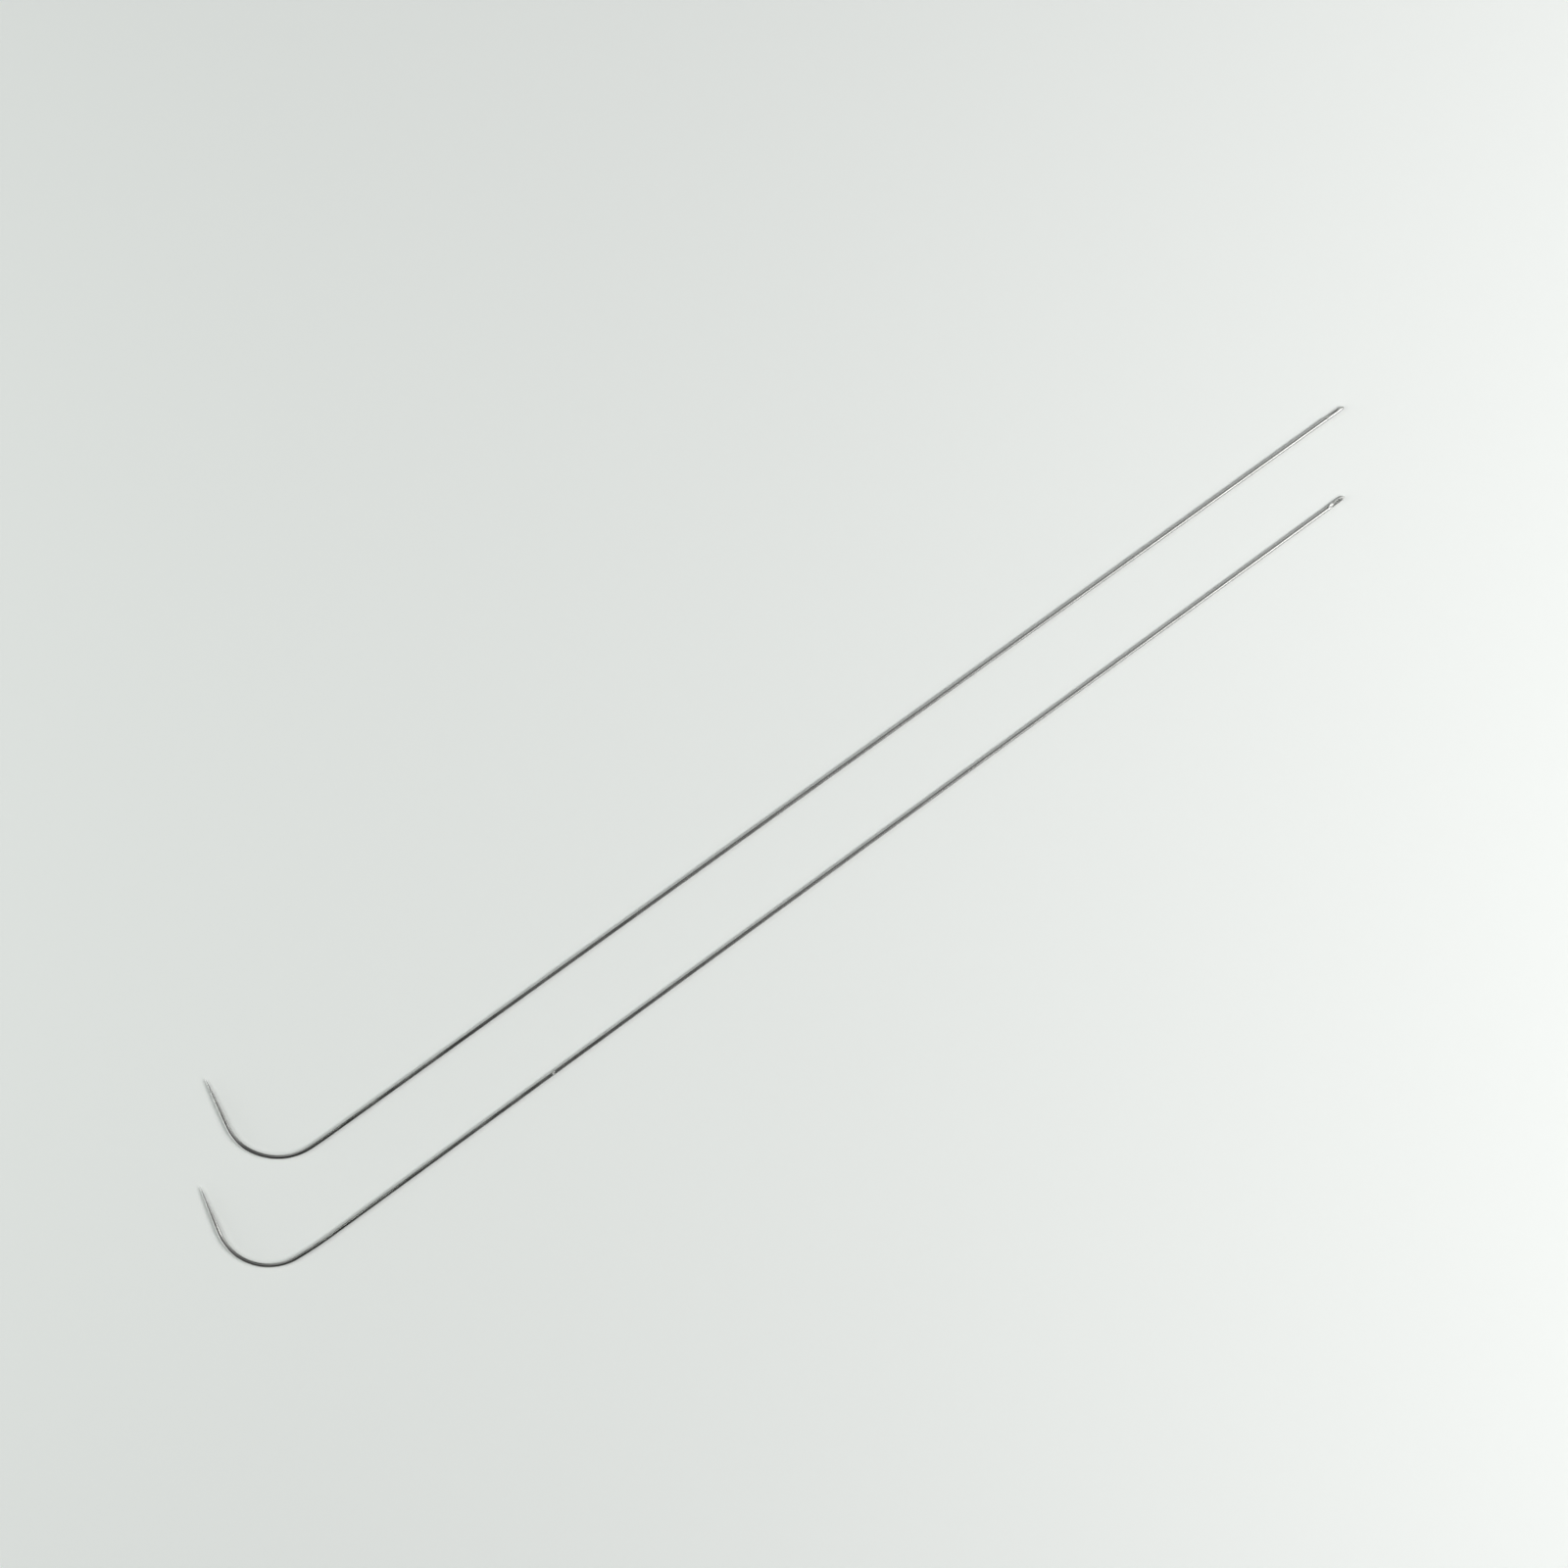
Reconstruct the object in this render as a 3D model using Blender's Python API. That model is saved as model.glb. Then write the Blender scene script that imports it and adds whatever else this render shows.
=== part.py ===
"""A pair of curved beading needles lying side by side.

Each needle is one length of hard drawn stainless wire. Its eye end is pressed flat, guttered and
punched with a slot, the shank runs straight, and the other end is bent into an open hook and ground
to a point. The needles are loose: nothing joins them.

Row frame, in metres: +X runs along the first needle's shank towards its eye, +Y towards the side
that the hooks open to, +Z up. The needles lie on Z = 0, and the origin is the middle of the pair.
"""

import math

import bmesh
import bpy
from mathutils import Matrix, Vector

MM = 0.001

# Wire
WIRE_DIAMETER = 0.70 * MM
WIRE_SIDES = 16  # one facet faces straight down

# Pressed eye, measured back from its rounded end
EYE_LENGTH = 2.9 * MM
EYE_WIDTH = 0.72 * MM
EYE_THICKNESS = 0.46 * MM
EYE_SQUARENESS = 1.25  # how much the press squares up the sides, so that the flats are broad
EYE_SHOULDER = 0.6 * MM  # run-out from the flats to the round shank
EYE_NOSE = 0.70 * MM  # length of the rounded end
EYE_BLUNTNESS = 0.25  # the flat at the very end, as a share of the wire's thickness
SLOT_CENTRE = 1.56 * MM
SLOT_LENGTH = 1.25 * MM
SLOT_WIDTH = 0.30 * MM
GUTTER_LENGTH = 2.50 * MM
GUTTER_WIDTH = 0.42 * MM
GUTTER_DEPTH = 0.10 * MM

# Point
POINT_LENGTH = 6.8 * MM
POINT_TIP_DIAMETER = 0.06 * MM

BEND_STEP = math.radians(5)
EYE_STEP = 0.25 * MM
SLOT_END_STEPS = 8
GUTTER_SEGMENTS = 16  # round the ellipsoid
GUTTER_RINGS = 10  # along it
WELD_DISTANCE = 0.0005 * MM
SHARP_EDGE = math.radians(35)

# One entry for each needle. bend lists (length of wire, angle turned) for each arc of the hook, from
# the shank to the point. eye_turn is how far the eye's flats are rolled about the shank.
NEEDLES = {
    "beading_needle_a": {
        "eye_end": (0.0, 0.0),
        "shank_angle": 0.0,
        "shank_length": 199.07 * MM,
        "bend": [
            (3.4 * MM, math.radians(2.5)),
            (10.71 * MM, math.radians(64.0)),
            (4.6 * MM, math.radians(34.0)),
        ],
        "point_length": 8.58 * MM,
        "eye_turn": math.radians(-65),
    },
    "beading_needle_b": {
        "eye_end": (-8.17 * MM, -11.69 * MM),
        "shank_angle": math.radians(0.43),
        "shank_length": 200.56 * MM,
        "bend": [
            (5.9 * MM, math.radians(6.3)),
            (7.59 * MM, math.radians(49.0)),
            (7.0 * MM, math.radians(48.0)),
        ],
        "point_length": 8.00 * MM,
        "eye_turn": 0.0,
    },
}

STEEL_COLOUR = (0.60, 0.61, 0.60, 1.0)
STEEL_ROUGHNESS = 0.22


def clear_scene():
    for obj in list(bpy.data.objects):
        bpy.data.objects.remove(obj)


def new_collection(name):
    collection = bpy.data.collections.new(name)
    bpy.context.scene.collection.children.link(collection)
    return collection


def steel_material():
    material = bpy.data.materials.new("polished_steel_wire")
    material.use_nodes = True
    shader = material.node_tree.nodes["Principled BSDF"]
    shader.inputs["Base Color"].default_value = STEEL_COLOUR
    shader.inputs["Roughness"].default_value = STEEL_ROUGHNESS
    shader.inputs["Metallic"].default_value = 1.0
    return material


def smoothstep(t):
    t = min(max(t, 0.0), 1.0)
    return t * t * (3 - 2 * t)


def centreline(needle):
    """(x, y) points of the wire's axis from the eye's end, at x = 0, along -X and round the hook.

    The eye and the ground point get closely spaced points, and each arc a point every BEND_STEP.
    """
    eye_steps = math.ceil((EYE_LENGTH + EYE_SHOULDER) / EYE_STEP)
    stations = [EYE_NOSE * share for share in (0.0, 0.04, 0.16, 0.4, 0.7)]
    stations += [EYE_NOSE + EYE_STEP * i for i in range(eye_steps)]
    stations.append(needle["shank_length"])
    points = [Vector((-station, 0.0)) for station in stations]

    heading = math.pi
    for length, turn in needle["bend"]:
        steps = math.ceil(turn / BEND_STEP)
        chord = 2 * (length / turn) * math.sin(turn / steps / 2)
        for _ in range(steps):
            heading -= turn / steps / 2
            points.append(points[-1] + chord * Vector((math.cos(heading), math.sin(heading))))
            heading -= turn / steps / 2

    bend_end = points[-1]
    along = Vector((math.cos(heading), math.sin(heading)))
    ground = [POINT_LENGTH * share for share in (1.0, 0.75, 0.52, 0.33, 0.18, 0.08, 0.025, 0.0)]
    points += [bend_end + (needle["point_length"] - left) * along for left in ground]
    return points


def radius_share(points):
    """The wire's radius at each centreline point, as a share of its full radius.

    The eye's end is rounded as an ellipse, and the point is ground to a paraboloid.
    """
    steps = [0.0] + [(b - a).length for a, b in zip(points, points[1:])]
    total = sum(steps)
    blunt = POINT_TIP_DIAMETER / WIRE_DIAMETER
    shares = []
    station = 0.0
    for step in steps:
        station += step
        nose = min(station / EYE_NOSE, 1.0)
        rounded = max(math.sqrt(1 - (1 - nose) ** 2), EYE_BLUNTNESS)
        ground = min(math.sqrt(max(total - station, 0.0) / POINT_LENGTH), 1.0)
        shares.append(min(rounded, max(ground, blunt)))
    return shares


def drawn_wire(name, needle):
    """The bent and ground wire as a tapered tube, turned into a mesh with its caps welded on."""
    points = centreline(needle)
    curve = bpy.data.curves.new(name, "CURVE")
    curve.dimensions = "3D"
    curve.twist_mode = "Z_UP"
    curve.bevel_depth = WIRE_DIAMETER / 2
    curve.bevel_resolution = WIRE_SIDES // 2 - 2
    curve.use_fill_caps = True
    spline = curve.splines.new("POLY")
    spline.points.add(len(points) - 1)
    for spline_point, point, share in zip(spline.points, points, radius_share(points)):
        spline_point.co = (point.x, point.y, 0.0, 1.0)
        spline_point.radius = share
        spline_point.tilt = math.pi / WIRE_SIDES
    tube = bpy.data.objects.new(name + "_tube", curve)
    bpy.context.scene.collection.objects.link(tube)

    graph = bpy.context.evaluated_depsgraph_get()
    mesh = bpy.data.meshes.new_from_object(tube.evaluated_get(graph))
    mesh.name = name
    wire = bpy.data.objects.new(name, mesh)
    wire.matrix_world = tube.matrix_world
    bpy.data.objects.remove(tube)

    shape = bmesh.new()
    shape.from_mesh(mesh)
    bmesh.ops.remove_doubles(shape, verts=shape.verts, dist=WELD_DISTANCE)
    bmesh.ops.recalc_face_normals(shape, faces=shape.faces)
    shape.to_mesh(mesh)
    shape.free()
    return wire


def press_eye(wire, eye_turn):
    """Widens the wire's end sideways, presses it flat, and rolls the flats about the shank."""
    half_thickness = EYE_THICKNESS / 2
    roll = Matrix.Rotation(eye_turn, 3, "X")
    for vertex in wire.data.vertices:
        back = -vertex.co.x
        if back > EYE_LENGTH + EYE_SHOULDER:
            continue
        pressed = 1 - smoothstep((back - EYE_LENGTH) / EYE_SHOULDER)
        limit = WIRE_DIAMETER / 2 + (half_thickness - WIRE_DIAMETER / 2) * pressed
        vertex.co.y *= 1 + (EYE_WIDTH / WIRE_DIAMETER - 1) * pressed
        vertex.co.z *= 1 + (EYE_SQUARENESS - 1) * pressed
        vertex.co.z = min(max(vertex.co.z, -limit), limit)
        vertex.co = roll @ vertex.co


def slot_cutter(name):
    """A tall prism with round ends, as the eye's punch."""
    straight = (SLOT_LENGTH - SLOT_WIDTH) / 2
    curve = bpy.data.curves.new(name, "CURVE")
    curve.dimensions = "2D"
    curve.fill_mode = "BOTH"
    curve.extrude = WIRE_DIAMETER
    spline = curve.splines.new("POLY")
    outline = []
    for end in (1, -1):
        for i in range(SLOT_END_STEPS + 1):
            angle = math.pi * (i / SLOT_END_STEPS - end / 2)
            x = end * straight + SLOT_WIDTH / 2 * math.cos(angle)
            outline.append((x, SLOT_WIDTH / 2 * math.sin(angle), 0.0, 1.0))
    spline.points.add(len(outline) - 1)
    for spline_point, point in zip(spline.points, outline):
        spline_point.co = point
    spline.use_cyclic_u = True
    prism = bpy.data.objects.new(name, curve)
    bpy.context.scene.collection.objects.link(prism)

    graph = bpy.context.evaluated_depsgraph_get()
    mesh = bpy.data.meshes.new_from_object(prism.evaluated_get(graph))
    cutter = bpy.data.objects.new(name, mesh)
    bpy.data.objects.remove(prism)
    shape = bmesh.new()
    shape.from_mesh(mesh)
    bmesh.ops.remove_doubles(shape, verts=shape.verts, dist=WELD_DISTANCE)
    bmesh.ops.recalc_face_normals(shape, faces=shape.faces)
    shape.to_mesh(mesh)
    shape.free()
    return cutter


def gutter_cutter(name, side):
    """A long shallow ellipsoid that leads the thread into the slot from both ends of one flat.

    Its middle stands GUTTER_DEPTH clear of the flat, at half its own half-height, and there the flat
    cuts it at sqrt(3) / 2 of its full length and width.
    """
    share = math.sqrt(3) / 2
    shape = bmesh.new()
    bmesh.ops.create_uvsphere(
        shape, u_segments=GUTTER_SEGMENTS, v_segments=GUTTER_RINGS, radius=1.0
    )
    turn = Matrix.Rotation(math.pi / 2, 4, "Y")  # the sphere's poles point along the eye
    half_length = GUTTER_LENGTH / 2 / share
    half_width = GUTTER_WIDTH / 2 / share
    size = Matrix.Diagonal((half_length, half_width, 2 * GUTTER_DEPTH, 1.0))
    bmesh.ops.transform(shape, matrix=size @ turn, verts=shape.verts)
    height = side * (EYE_THICKNESS / 2 + GUTTER_DEPTH)
    bmesh.ops.translate(shape, vec=(0.0, 0.0, height), verts=shape.verts)
    bmesh.ops.recalc_face_normals(shape, faces=shape.faces)
    mesh = bpy.data.meshes.new(name)
    shape.to_mesh(mesh)
    shape.free()
    return bpy.data.objects.new(name, mesh)


def cut_eye(wire, eye_turn, cutters):
    """Punches the slot and the two gutters through the pressed eye."""
    tools = [
        slot_cutter(wire.name + "_slot"),
        gutter_cutter(wire.name + "_gutter_top", 1),
        gutter_cutter(wire.name + "_gutter_under", -1),
    ]
    for tool in tools:
        cutters.objects.link(tool)
        tool.parent = wire
        tool.location = (-SLOT_CENTRE, 0.0, 0.0)
        tool.rotation_euler.x = eye_turn
        tool.hide_render = True
        tool.display_type = "WIRE"
        cut = wire.modifiers.new(tool.name, "BOOLEAN")
        cut.operation = "DIFFERENCE"
        cut.solver = "EXACT"
        cut.object = tool


def lowest_point(wire, first_x, last_x):
    heights = [v.co.z for v in wire.data.vertices if first_x <= v.co.x <= last_x]
    return min(heights)


def rest_on_table(wire):
    """Raises the needle onto Z = 0, and tips it so that a rolled eye touches the table too."""
    eye_reach = -EYE_LENGTH / 2
    shank_low = lowest_point(wire, -1.0, -EYE_LENGTH - EYE_SHOULDER)
    eye_low = lowest_point(wire, -EYE_LENGTH, 0.0)
    hook_reach = min(v.co.x for v in wire.data.vertices)
    lift = max(shank_low - eye_low, 0.0)
    wire.rotation_euler.y = -math.atan2(lift, eye_reach - hook_reach)
    wire.location.z = -shank_low + lift * hook_reach / (hook_reach - eye_reach)


def build_needle(name, needle, steel, parts, cutters):
    wire = drawn_wire(name, needle)
    parts.objects.link(wire)
    press_eye(wire, needle["eye_turn"])
    rest_on_table(wire)
    cut_eye(wire, needle["eye_turn"], cutters)
    wire.location.x, wire.location.y = needle["eye_end"]
    wire.rotation_euler.z = needle["shank_angle"]
    wire.data.materials.clear()
    wire.data.materials.append(steel)
    wire.data.shade_smooth()
    wire.data.set_sharp_from_angle(angle=SHARP_EDGE)
    return wire


def centre_pair(needles, pair):
    """Moves the pair so that its box is centred on the origin and stands on Z = 0."""
    bpy.context.view_layer.update()
    corners = [wire.matrix_world @ v.co for wire in needles for v in wire.data.vertices]
    low = Vector([min(c[k] for c in corners) for k in range(3)])
    high = Vector([max(c[k] for c in corners) for k in range(3)])
    middle = (low + high) / 2
    pair.location = (-middle.x, -middle.y, -low.z)
    for wire in needles:
        wire.parent = pair


def main():
    clear_scene()
    parts = new_collection("curved_beading_needles")
    cutters = new_collection("cutters")
    pair = bpy.data.objects.new("needle_pair", None)
    parts.objects.link(pair)
    steel = steel_material()
    needles = [build_needle(n, spec, steel, parts, cutters) for n, spec in NEEDLES.items()]
    centre_pair(needles, pair)


main()
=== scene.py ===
"""Looks for a pair of curved beading needles: polished steel wire on a plain pale table.

Each needle is one subdivision surface. Its cage is a row of 16-point rings along the wire, which run
from the rounded end of the pressed eye, along the shank and round the hook to the ground point.
"""

import math

import bmesh
import bpy
import numpy as np
from mathutils import Matrix, Vector


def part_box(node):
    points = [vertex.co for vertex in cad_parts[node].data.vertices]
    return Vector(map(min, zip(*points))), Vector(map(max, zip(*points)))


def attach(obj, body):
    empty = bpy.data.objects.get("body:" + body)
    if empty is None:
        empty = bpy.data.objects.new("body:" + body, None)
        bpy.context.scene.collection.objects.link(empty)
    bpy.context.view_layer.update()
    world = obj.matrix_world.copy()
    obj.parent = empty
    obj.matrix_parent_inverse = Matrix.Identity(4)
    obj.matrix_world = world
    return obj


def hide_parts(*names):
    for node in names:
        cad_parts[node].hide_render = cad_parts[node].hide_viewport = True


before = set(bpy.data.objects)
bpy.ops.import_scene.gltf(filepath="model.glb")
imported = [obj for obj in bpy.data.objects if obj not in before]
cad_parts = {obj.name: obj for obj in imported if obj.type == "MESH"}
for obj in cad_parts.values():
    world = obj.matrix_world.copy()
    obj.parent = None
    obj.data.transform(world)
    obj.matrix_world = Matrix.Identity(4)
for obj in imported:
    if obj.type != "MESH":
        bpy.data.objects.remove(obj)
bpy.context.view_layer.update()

MM = 0.001

# --- Sizes ----------------------------------------------------------------------------------------

# Wire and eye, as in the CAD model. Distances along the wire start at the eye's end
WIRE_DIAMETER = 0.70 * MM
EYE_LENGTH = 2.9 * MM
EYE_WIDTH = 0.72 * MM
EYE_THICKNESS = 0.46 * MM
EYE_SHOULDER = 0.6 * MM  # over this length the pressed eye turns into the round shank
EYE_NOSE = 0.70 * MM  # over this length the eye's end is rounded
SLOT_CENTRE = 1.56 * MM
SLOT_LENGTH = 1.25 * MM
SLOT_WIDTH = 0.30 * MM
SLOT_START = SLOT_CENTRE - SLOT_LENGTH / 2
SLOT_END = SLOT_CENTRE + SLOT_LENGTH / 2
POINT_LENGTH = 6.8 * MM

# The gutter along both flats of the eye, as the cage has it
GUTTER_DEPTH = 0.11 * MM
GUTTER_LEAD = 0.4 * MM  # it deepens over this length, up to the slot's start
GUTTER_HOLD = 0.1 * MM  # it keeps its depth for this length past the slot's end
GUTTER_TAIL = 0.5 * MM  # and then runs out over this length

# A nick in the shank's upper side, which the CAD model doesn't have
NICK_REACH = 0.32 * MM  # from its middle to either end
NICK_DEPTH = 0.05 * MM

# The needles, as in the CAD model apart from the nicks. A bend is a row of arcs, each with its
# length and its turn. Nicks are given by the distance along the wire to their middle
NEEDLES = {
    "beading_needle_a": {
        "body": "needle_a",
        "shank_angle": 0.0,
        "shank_length": 199.07 * MM,
        "bend": [
            (3.4 * MM, math.radians(2.5)),
            (10.71 * MM, math.radians(64.0)),
            (4.6 * MM, math.radians(34.0)),
        ],
        "point_length": 8.58 * MM,
        "eye_turn": math.radians(-65),
        "tipped": -0.00012,
        "nicks": [],
    },
    "beading_needle_b": {
        "body": "needle_b",
        "shank_angle": math.radians(0.43),
        "shank_length": 200.56 * MM,
        "bend": [
            (5.9 * MM, math.radians(6.3)),
            (7.59 * MM, math.radians(49.0)),
            (7.0 * MM, math.radians(48.0)),
        ],
        "point_length": 8.00 * MM,
        "eye_turn": 0.0,
        "tipped": 0.0,
        "nicks": [155.9 * MM],
    },
}

# --- Cage -----------------------------------------------------------------------------------------

SUBDIVISIONS = 2

# Points of a ring, counted round from one narrow side: 1 to 6 are on the upper flat, 9 to 14 on the
# lower one, and the others on the narrow sides
RING_POINTS = 16
SIDE_POINTS = (0, 7, 8, 15)
SLOT_RIM = (3, 12, 11, 4)  # down one wall of the slot, from 3 to 12, and up the other, from 11 to 4
SLOT_COLUMNS = (3, 11)  # the slot takes the place of the faces from 3 to 4 and from 11 to 12
RIM_CREASE = 0.45
# Radius of a subdivided ring, as a share of its cage's
RING_SHRINK = (4 + 2 * math.cos(2 * math.pi / RING_POINTS)) / 6

# A quarter of the eye's section, as shares of its half width and half thickness
EYE_OUTLINE = ((1.06, 0.42), (0.93, 0.94), (0.62, 1.03))
SLOT_CAGE = 1.05  # width of the slot in the cage, as a share of its real width
NOSE_THICKNESS = 0.35  # share of the eye's thickness that is left where its width is nothing
BLUNT_NOSE = 0.12  # share of the eye's width at its very end
BLUNT_POINT = 0.06  # share of the wire's radius at the tip

# Places of the rings
NOSE_RINGS = (0.0, 0.06, 0.2, 0.42, 0.7, 1.0)  # shares of the nose
CROSSBAR_RING = 0.82 * MM  # along the wire, between the nose and the slot
SLOT_RINGS = (0.0, 0.1, 0.3, 0.5, 0.7, 0.9, 1.0)  # shares of the slot
THROAT_RINGS = (0.16 * MM, 0.34 * MM, 0.5 * MM)  # past the slot's end
SHOULDER_RINGS = (0.15, 0.45, 0.75, 1.1)  # shares of the shoulder
SHANK_START = 1.2 * MM  # from where the eye stops to the shank's first ring
SHANK_STEP = 3.0 * MM
SHANK_REST = SHANK_STEP / 3  # least distance from the shank's last ring to the bend
NICK_RINGS = (-1.5, -1.0, -0.5, 0.0, 0.5, 1.0, 1.5)  # shares of the nick's reach
NICK_CLEARANCE = 2 * NICK_REACH  # the shank's other rings keep this far from a nick's middle
BEND_STEP = math.radians(4)
LEAST_BEND_STEPS = 2
# Shares of the point's length that are left before the tip
POINT_RINGS = (1.12, 0.97, 0.82, 0.66, 0.52, 0.39, 0.28, 0.19, 0.12, 0.07, 0.035, 0.012, 0.0)

# How dull the pressed flats are, against 1 in a nick
PRESSED_MATTE = 0.6

# UVs of the faces that aren't on the wire's skin: the turns round it that they start and end at, and
# the length along it that is given to faces that lie across it
WALL_TURNS = (0.2, 0.7)
CAP_TURNS = (0.0, 0.1)
ACROSS_LENGTH = 0.1 * MM


def smoothstep(t):
    """0 up to t = 0, 1 from t = 1, and a smooth rise between them."""
    t = min(max(t, 0.0), 1.0)
    return t * t * (3 - 2 * t)


def stations_of(needle):
    """Distances along the wire at which the eye and the shank have a ring."""
    nose = [EYE_NOSE * share for share in NOSE_RINGS]
    slot = [SLOT_START + SLOT_LENGTH * share for share in SLOT_RINGS]
    throat = [SLOT_END + step for step in THROAT_RINGS]
    shoulder = [EYE_LENGTH + EYE_SHOULDER * share for share in SHOULDER_RINGS]
    shank_end = needle["shank_length"] - SHANK_REST
    shank = [float(s) for s in np.arange(EYE_LENGTH + SHANK_START, shank_end, SHANK_STEP)]
    for nick in needle["nicks"]:
        shank = [s for s in shank if abs(s - nick) > NICK_CLEARANCE]
        shank += [nick + NICK_REACH * share for share in NICK_RINGS]
    return nose + [CROSSBAR_RING] + slot + throat + shoulder + sorted(shank)


def centreline(needle):
    """The rings as [(distance along the wire, position, heading)], and the wire's whole length."""
    rings = [(s, Vector((-s, 0.0)), math.pi) for s in stations_of(needle)]
    along = needle["shank_length"]
    place = Vector((-along, 0.0))
    heading = math.pi
    rings.append((along, place.copy(), heading))
    for length, turn in needle["bend"]:
        steps = max(math.ceil(turn / BEND_STEP), LEAST_BEND_STEPS)
        for _ in range(steps):
            heading -= turn / steps / 2
            chord = 2 * (length / turn) * math.sin(turn / steps / 2)
            place = place + chord * Vector((math.cos(heading), math.sin(heading)))
            heading -= turn / steps / 2
            along += length / steps
            rings.append((along, place.copy(), heading))
    ahead = Vector((math.cos(heading), math.sin(heading)))
    total = along + needle["point_length"]
    for share in POINT_RINGS:
        left = POINT_LENGTH * share
        rings.append((total - left, place + (needle["point_length"] - left) * ahead, heading))
    return rings, total


def round_section(radius):
    """The 16 (across, up) points of a round section."""
    angles = [2 * math.pi * (k + 0.5) / RING_POINTS for k in range(RING_POINTS)]
    reach = radius / RING_SHRINK
    return [Vector((reach * math.cos(a), reach * math.sin(a))) for a in angles]


def eye_section(nose_share, gutter):
    """The 16 (across, up) points of the pressed eye, gutter deep along the middle of both flats."""
    half_width = EYE_WIDTH / 2
    half_thickness = EYE_THICKNESS / 2
    quarter = [(across * half_width, up * half_thickness) for across, up in EYE_OUTLINE]
    quarter.append((SLOT_WIDTH / 2 * SLOT_CAGE, half_thickness - gutter))
    top = quarter + [(-y, z) for y, z in reversed(quarter)]
    bottom = [(y, -z) for y, z in reversed(top)]
    thin = NOSE_THICKNESS + (1 - NOSE_THICKNESS) * nose_share
    return [Vector((y * nose_share, z * thin)) for y, z in top + bottom]


def pressed_share(along):
    """How far the wire is pressed at a distance along it: 1 in the eye and 0 in the shank."""
    return 1 - smoothstep((along - EYE_LENGTH) / EYE_SHOULDER)


def nick_share(along, nick):
    """How deep the nick is at a distance along the wire: 1 at its middle and 0 outside it."""
    return 1 - smoothstep(abs(along - nick) / NICK_REACH)


def section_at(along, total):
    """The wire's section at a distance along it."""
    radius = WIRE_DIAMETER / 2
    if along > EYE_LENGTH + EYE_SHOULDER:
        ground = min(math.sqrt(max(total - along, 0.0) / POINT_LENGTH), 1.0)
        return round_section(radius * max(ground, BLUNT_POINT))
    nose = min(along / EYE_NOSE, 1.0)
    nose_share = max(math.sqrt(1 - (1 - nose) ** 2), BLUNT_NOSE)
    before = smoothstep((along - (SLOT_START - GUTTER_LEAD)) / GUTTER_LEAD)
    after = 1 - smoothstep((along - (SLOT_END + GUTTER_HOLD)) / GUTTER_TAIL)
    flat = eye_section(nose_share, GUTTER_DEPTH * min(before, after))
    return [p.lerp(q, pressed_share(along)) for p, q in zip(round_section(radius), flat)]


def add_rings(shape, matte, needle, rings, total):
    """The rings' vertices, as rows of 16, with how dull the steel is at each."""
    roll = Matrix.Rotation(needle["eye_turn"], 2)
    up = Vector((0.0, 0.0, 1.0))
    grid = []
    for along, place, heading in rings:
        left = Vector((math.sin(heading), -math.cos(heading), 0.0))
        centre = Vector((place.x, place.y, 0.0))
        nicked = max((nick_share(along, nick) for nick in needle["nicks"]), default=0.0)
        row = []
        for k, point in enumerate(section_at(along, total)):
            rolled = roll @ point
            vert = shape.verts.new(centre + rolled.x * left + rolled.y * up)
            on_top = max(math.sin(2 * math.pi * (k + 0.5) / RING_POINTS), 0.0)
            vert.co.z -= NICK_DEPTH * nicked * on_top
            on_flat = 0.0 if k in SIDE_POINTS else 1.0
            vert[matte] = max(PRESSED_MATTE * pressed_share(along) * on_flat, nicked * on_top)
            row.append(vert)
        grid.append(row)
    return grid


def add_face(shape, uv_layer, corners, coords):
    """A smooth face with a UV at each corner."""
    made = shape.faces.new(corners)
    made.smooth = True
    for loop, uv in zip(made.loops, coords):
        loop[uv_layer].uv = uv


def add_skin(shape, uv_layer, grid, along, slotted):
    """The wire's skin between all the rings, open where the slot is."""
    for i in range(len(grid) - 1):
        v0, v1 = along[i], along[i + 1]
        for k in range(RING_POINTS):
            if i in slotted and k in SLOT_COLUMNS:
                continue
            j = (k + 1) % RING_POINTS
            u0, u1 = k / RING_POINTS, (k + 1) / RING_POINTS
            corners = (grid[i][k], grid[i][j], grid[i + 1][j], grid[i + 1][k])
            add_face(shape, uv_layer, corners, ((u0, v0), (u1, v0), (u1, v1), (u0, v1)))


def add_slot(shape, uv_layer, grid, along, slotted):
    """The slot's two long walls and its two ends."""
    u0, u1 = WALL_TURNS
    for i in slotted:
        v0, v1 = along[i], along[i + 1]
        for near, far in (SLOT_RIM[:2], SLOT_RIM[2:]):
            corners = (grid[i][near], grid[i + 1][near], grid[i + 1][far], grid[i][far])
            add_face(shape, uv_layer, corners, ((u0, v0), (u0, v1), (u1, v1), (u1, v0)))
    coords = ((u0, 0.0), (u1, 0.0), (u1, ACROSS_LENGTH), (u0, ACROSS_LENGTH))
    for row, order in ((grid[slotted[0]], SLOT_RIM), (grid[slotted[-1] + 1], SLOT_RIM[::-1])):
        add_face(shape, uv_layer, [row[k] for k in order], coords)


def add_caps(shape, uv_layer, grid):
    """A strip of faces over the eye's end, and one over the tip."""
    u0, u1 = CAP_TURNS
    coords = ((u0, 0.0), (u1, 0.0), (u1, ACROSS_LENGTH), (u0, ACROSS_LENGTH))
    for row, forward in ((grid[0], True), (grid[-1], False)):
        for k in range(RING_POINTS // 2 - 1):
            corners = [row[k], row[RING_POINTS - 1 - k], row[RING_POINTS - 2 - k], row[k + 1]]
            if not forward:
                corners.reverse()
            add_face(shape, uv_layer, corners, coords)


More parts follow.
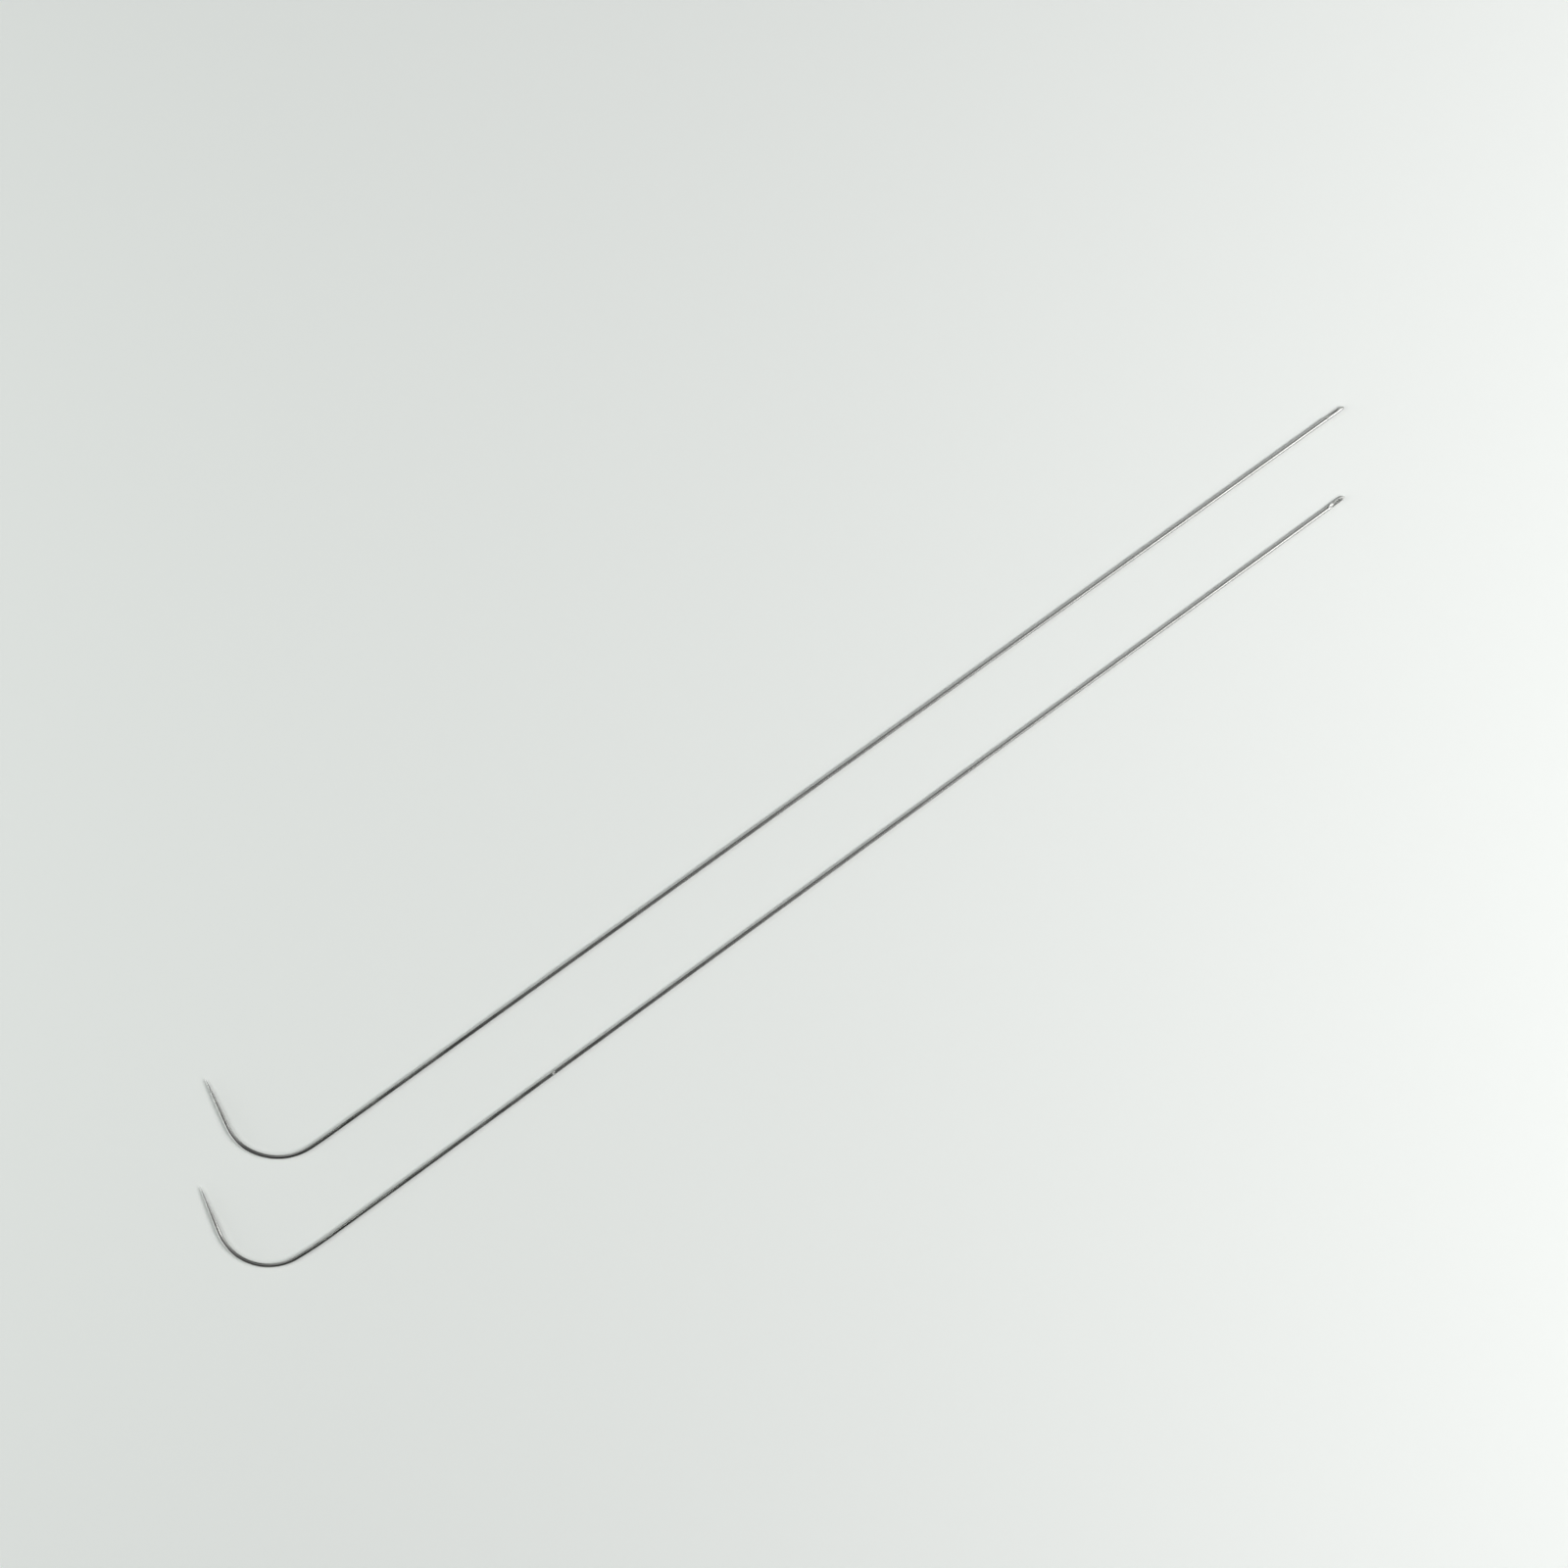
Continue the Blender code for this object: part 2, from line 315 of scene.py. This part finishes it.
def crease_rim(shape, crease, grid, slotted):
    """Hold the edges where the slot's walls meet the skin."""
    rim = {grid[i][k] for i in range(slotted[0], slotted[-1] + 2) for k in SLOT_RIM}
    for edge in shape.edges:
        if edge.verts[0] in rim and edge.verts[1] in rim:
            walls = [f for f in edge.link_faces if all(v in rim for v in f.verts)]
            if len(walls) == 1:
                edge[crease] = RIM_CREASE


def sweep_cage(needle):
    """The cage as a bmesh, with UVs that run round the wire in u and along it, in metres, in v."""
    rings, total = centreline(needle)
    shape = bmesh.new()
    uv_layer = shape.loops.layers.uv.new("wire")
    crease = shape.edges.layers.float.new("crease_edge")
    matte = shape.verts.layers.float.new("matte")

    grid = add_rings(shape, matte, needle, rings, total)
    along = [ring[0] for ring in rings]
    middles = [(here + there) / 2 for here, there in zip(along, along[1:])]
    slotted = [i for i, middle in enumerate(middles) if SLOT_START < middle < SLOT_END]

    add_skin(shape, uv_layer, grid, along, slotted)
    add_slot(shape, uv_layer, grid, along, slotted)
    add_caps(shape, uv_layer, grid)
    crease_rim(shape, crease, grid, slotted)
    bmesh.ops.recalc_face_normals(shape, faces=shape.faces)
    return shape


def needle_piece(name, needle, material):
    """The finished needle, subdivided, tipped and turned as the CAD model's, and put in its box."""
    shape = sweep_cage(needle)
    mesh = bpy.data.meshes.new(name + "_wire")
    shape.to_mesh(mesh)
    shape.free()
    mesh.materials.append(material)
    piece = bpy.data.objects.new(name + "_polished", mesh)
    bpy.context.scene.collection.objects.link(piece)
    fine = piece.modifiers.new("fine", "SUBSURF")
    fine.levels = SUBDIVISIONS
    fine.render_levels = SUBDIVISIONS
    graph = bpy.context.evaluated_depsgraph_get()
    smooth = bpy.data.meshes.new_from_object(piece.evaluated_get(graph))
    piece.modifiers.clear()
    piece.data = smooth

    turn = Matrix.Rotation(needle["shank_angle"], 4, "Z") @ Matrix.Rotation(needle["tipped"], 4, "Y")
    smooth.transform(turn)
    points = np.array([v.co for v in smooth.vertices])
    low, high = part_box(name)
    shift = Vector(
        (high[0] - points[:, 0].max(), high[1] - points[:, 1].max(), low[2] - points[:, 2].min())
    )
    smooth.transform(Matrix.Translation(shift))
    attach(piece, needle["body"])
    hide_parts(name)


# --- Nodes ----------------------------------------------------------------------------------------


def node(tree, kind, **inputs):
    """A new node with some inputs set. An underscore in a keyword stands for a space."""
    made = tree.nodes.new(kind)
    for name, value in inputs.items():
        made.inputs[name.replace("_", " ")].default_value = value
    return made


def ramp(tree, source, start, end, low=0.0, high=1.0):
    """A smooth change from low to high as source goes from start to end."""
    made = node(
        tree, "ShaderNodeMapRange", From_Min=start, From_Max=end, To_Min=low, To_Max=high
    )
    made.interpolation_type = "SMOOTHSTEP"
    tree.links.new(source, made.inputs["Value"])
    return made.outputs["Result"]


def arithmetic(tree, operation, first, second):
    """The sum or product of two sockets."""
    made = tree.nodes.new("ShaderNodeMath")
    made.operation = operation
    tree.links.new(first, made.inputs[0])
    tree.links.new(second, made.inputs[1])
    return made.outputs["Value"]


# --- Materials ------------------------------------------------------------------------------------

# Drawn lines: noise with about 60 cells round the wire, each about 6 mm long
LINES_CELLS = (60.0, 160.0, 1.0)  # cells per turn, per metre along the wire, and unused
LINES_DETAIL = 6.0
LINES_ROUGHNESS = 0.65
LINES_STRENGTH = 0.25
LINES_HEIGHT = 4e-6
DARK_STEEL = (0.50, 0.50, 0.48, 1.0)
LIGHT_STEEL = (0.66, 0.67, 0.66, 1.0)

# Duller patches, about 4 mm across
PATCH_CELLS = 260.0  # cells per metre
PATCH_DETAIL = 3.0
PATCH_ROUGHNESS = 0.5
STEEL_ROUGHNESS = (0.17, 0.26)  # outside and inside a patch
MATTE_ROUGHNESS = 0.45  # added where the steel is fully dull

# Both noises are spread over their full effect between these values
NOISE_LOW = 0.3
NOISE_HIGH = 0.7

TABLE_COLOUR = (0.93, 0.956, 0.94, 1.0)
TABLE_ROUGHNESS = 0.75
TABLE_SPECULAR = 0.25


def steel_material():
    """Drawn and polished stainless wire: fine lines along its length, and faint dull patches."""
    material = bpy.data.materials.new("drawn_polished_steel")
    material.use_nodes = True
    tree = material.node_tree
    shader = tree.nodes["Principled BSDF"]
    shader.inputs["Metallic"].default_value = 1.0

    place = tree.nodes.new("ShaderNodeUVMap")
    place.uv_map = "wire"
    cells = node(tree, "ShaderNodeMapping", Scale=LINES_CELLS)
    tree.links.new(place.outputs["UV"], cells.inputs["Vector"])
    lines = node(
        tree, "ShaderNodeTexNoise", Scale=1.0, Detail=LINES_DETAIL, Roughness=LINES_ROUGHNESS
    )
    tree.links.new(cells.outputs["Vector"], lines.inputs["Vector"])

    patch_place = tree.nodes.new("ShaderNodeTexCoord")
    patches = node(
        tree, "ShaderNodeTexNoise", Scale=PATCH_CELLS, Detail=PATCH_DETAIL, Roughness=PATCH_ROUGHNESS
    )
    tree.links.new(patch_place.outputs["Object"], patches.inputs["Vector"])

    tone = tree.nodes.new("ShaderNodeValToRGB")
    dark, light = tone.color_ramp.elements
    dark.position = NOISE_LOW
    dark.color = DARK_STEEL
    light.position = NOISE_HIGH
    light.color = LIGHT_STEEL
    tree.links.new(lines.outputs["Fac"], tone.inputs["Fac"])
    tree.links.new(tone.outputs["Color"], shader.inputs["Base Color"])

    rough = node(
        tree,
        "ShaderNodeMapRange",
        From_Min=NOISE_LOW,
        From_Max=NOISE_HIGH,
        To_Min=STEEL_ROUGHNESS[0],
        To_Max=STEEL_ROUGHNESS[1],
    )
    tree.links.new(patches.outputs["Fac"], rough.inputs["Value"])
    matte = tree.nodes.new("ShaderNodeAttribute")
    matte.attribute_name = "matte"
    dulled = ramp(tree, matte.outputs["Fac"], 0.0, 1.0, 0.0, MATTE_ROUGHNESS)
    roughness = arithmetic(tree, "ADD", rough.outputs["Result"], dulled)
    tree.links.new(roughness, shader.inputs["Roughness"])

    bump = node(tree, "ShaderNodeBump", Strength=LINES_STRENGTH, Distance=LINES_HEIGHT)
    tree.links.new(lines.outputs["Fac"], bump.inputs["Height"])
    tree.links.new(bump.outputs["Normal"], shader.inputs["Normal"])
    return material


def table_material():
    """The plain pale table."""
    material = bpy.data.materials.new("pale_table")
    material.use_nodes = True
    shader = material.node_tree.nodes["Principled BSDF"]
    shader.inputs["Roughness"].default_value = TABLE_ROUGHNESS
    shader.inputs["Specular IOR Level"].default_value = TABLE_SPECULAR
    shader.inputs["Base Color"].default_value = TABLE_COLOUR
    return material


# --- Stage ----------------------------------------------------------------------------------------

# Camera: straight above, with this point in the middle of the picture
VIEW_CENTRE = Vector((3.954 * MM, 0.548 * MM, 0.0))
VIEW_WIDTH = 250 * MM
VIEW_ROLL = math.radians(-35.667)
LENS = 85.0
SENSOR = 36.0
CLIP_START = 0.01

TABLE_HALF_SIZE = 6.0
TABLE_GAP = 0.02 * MM  # the table's top lies this far below the needles' lowest point

# Lamps: oblong panels that face straight down, each with its middle, its size, how far it is turned,
# its radiance and its colour
LAMPS = {
    "key": ((0.376, -0.460, 0.50), (0.55, 0.60), math.radians(-11), 2.25, (1.0, 0.995, 0.985)),
    "right": ((0.520, -0.300, 0.50), (0.60, 0.15), math.radians(-11), 11.4, (1.0, 0.995, 0.985)),
    "back": ((-0.430, 0.290, 0.40), (0.44, 0.31), 0.0, 3.9, (0.955, 1.0, 0.96)),
}

# Room: radiances over the hooks, over the eyes, and low down beyond the hooks
ROOM_LEFT = 0.02
ROOM_RIGHT = 0.38
DARK_CORNER = 0.1  # share of the room's glow that is left towards +X and +Y
LOW_GLOW = 2.5

# Where those change, as the start and end of the change in one coordinate of the unit direction
ROOM_X = (-0.14, 0.12)
CORNER_X = (0.22, 0.42)
CORNER_Y = (0.08, 0.3)
LOW_X = (-0.45, -0.75)
LOW_Y = (-0.25, -0.05)
LOW_Z = (0.45, 0.20)


def make_camera():
    """The camera, above the needles and rolled as in the photo."""
    data = bpy.data.cameras.new("above")
    data.lens = LENS
    data.sensor_width = SENSOR
    data.clip_start = CLIP_START
    camera = bpy.data.objects.new("above", data)
    camera.location = VIEW_CENTRE + Vector((0.0, 0.0, VIEW_WIDTH * LENS / SENSOR))
    camera.rotation_euler = (0.0, 0.0, VIEW_ROLL)
    bpy.context.scene.collection.objects.link(camera)
    bpy.context.scene.camera = camera


def make_world():
    """A room that is dark over the hooks, dim over the eyes, and bright low down beyond the hooks."""
    world = bpy.data.worlds.new("studio")
    world.use_nodes = True
    tree = world.node_tree
    place = tree.nodes.new("ShaderNodeTexCoord")
    split = tree.nodes.new("ShaderNodeSeparateXYZ")
    tree.links.new(place.outputs["Generated"], split.inputs["Vector"])
    x, y, z = (split.outputs[axis] for axis in "XYZ")

    room = ramp(tree, x, *ROOM_X, ROOM_LEFT, ROOM_RIGHT)
    corner = arithmetic(tree, "MULTIPLY", ramp(tree, x, *CORNER_X), ramp(tree, y, *CORNER_Y))
    room = arithmetic(tree, "MULTIPLY", room, ramp(tree, corner, 0.0, 1.0, 1.0, DARK_CORNER))
    low = arithmetic(tree, "MULTIPLY", ramp(tree, x, *LOW_X), ramp(tree, z, *LOW_Z, 0.0, LOW_GLOW))
    low = arithmetic(tree, "MULTIPLY", low, ramp(tree, y, *LOW_Y))
    glow = arithmetic(tree, "ADD", room, low)
    tree.links.new(glow, tree.nodes["Background"].inputs["Strength"])
    tree.nodes["Background"].inputs["Color"].default_value = (1.0, 1.0, 1.0, 1.0)
    bpy.context.scene.world = world


def make_floor():
    """The table's top."""
    mesh = bpy.data.meshes.new("table")
    shape = bmesh.new()
    bmesh.ops.create_grid(shape, x_segments=1, y_segments=1, size=TABLE_HALF_SIZE)
    shape.to_mesh(mesh)
    shape.free()
    mesh.materials.append(table_material())
    floor = bpy.data.objects.new("table", mesh)
    floor.location.z = -TABLE_GAP
    bpy.context.scene.collection.objects.link(floor)


def make_lamp(name, middle, size, turn, radiance, colour):
    """A lamp panel. Its power is what gives it that radiance at that size."""
    data = bpy.data.lights.new(name, "AREA")
    data.shape = "RECTANGLE"
    data.size, data.size_y = size
    data.energy = radiance * math.pi * size[0] * size[1]
    data.color = colour
    lamp = bpy.data.objects.new(name, data)
    lamp.location = middle
    lamp.rotation_euler = (0.0, 0.0, turn)
    bpy.context.scene.collection.objects.link(lamp)


make_camera()
make_world()
make_floor()
for lamp_name, lamp_spec in LAMPS.items():
    make_lamp(lamp_name, *lamp_spec)
bpy.context.scene.view_settings.view_transform = "Standard"

steel = steel_material()
for needle_name, needle_spec in NEEDLES.items():
    needle_piece(needle_name, needle_spec, steel)
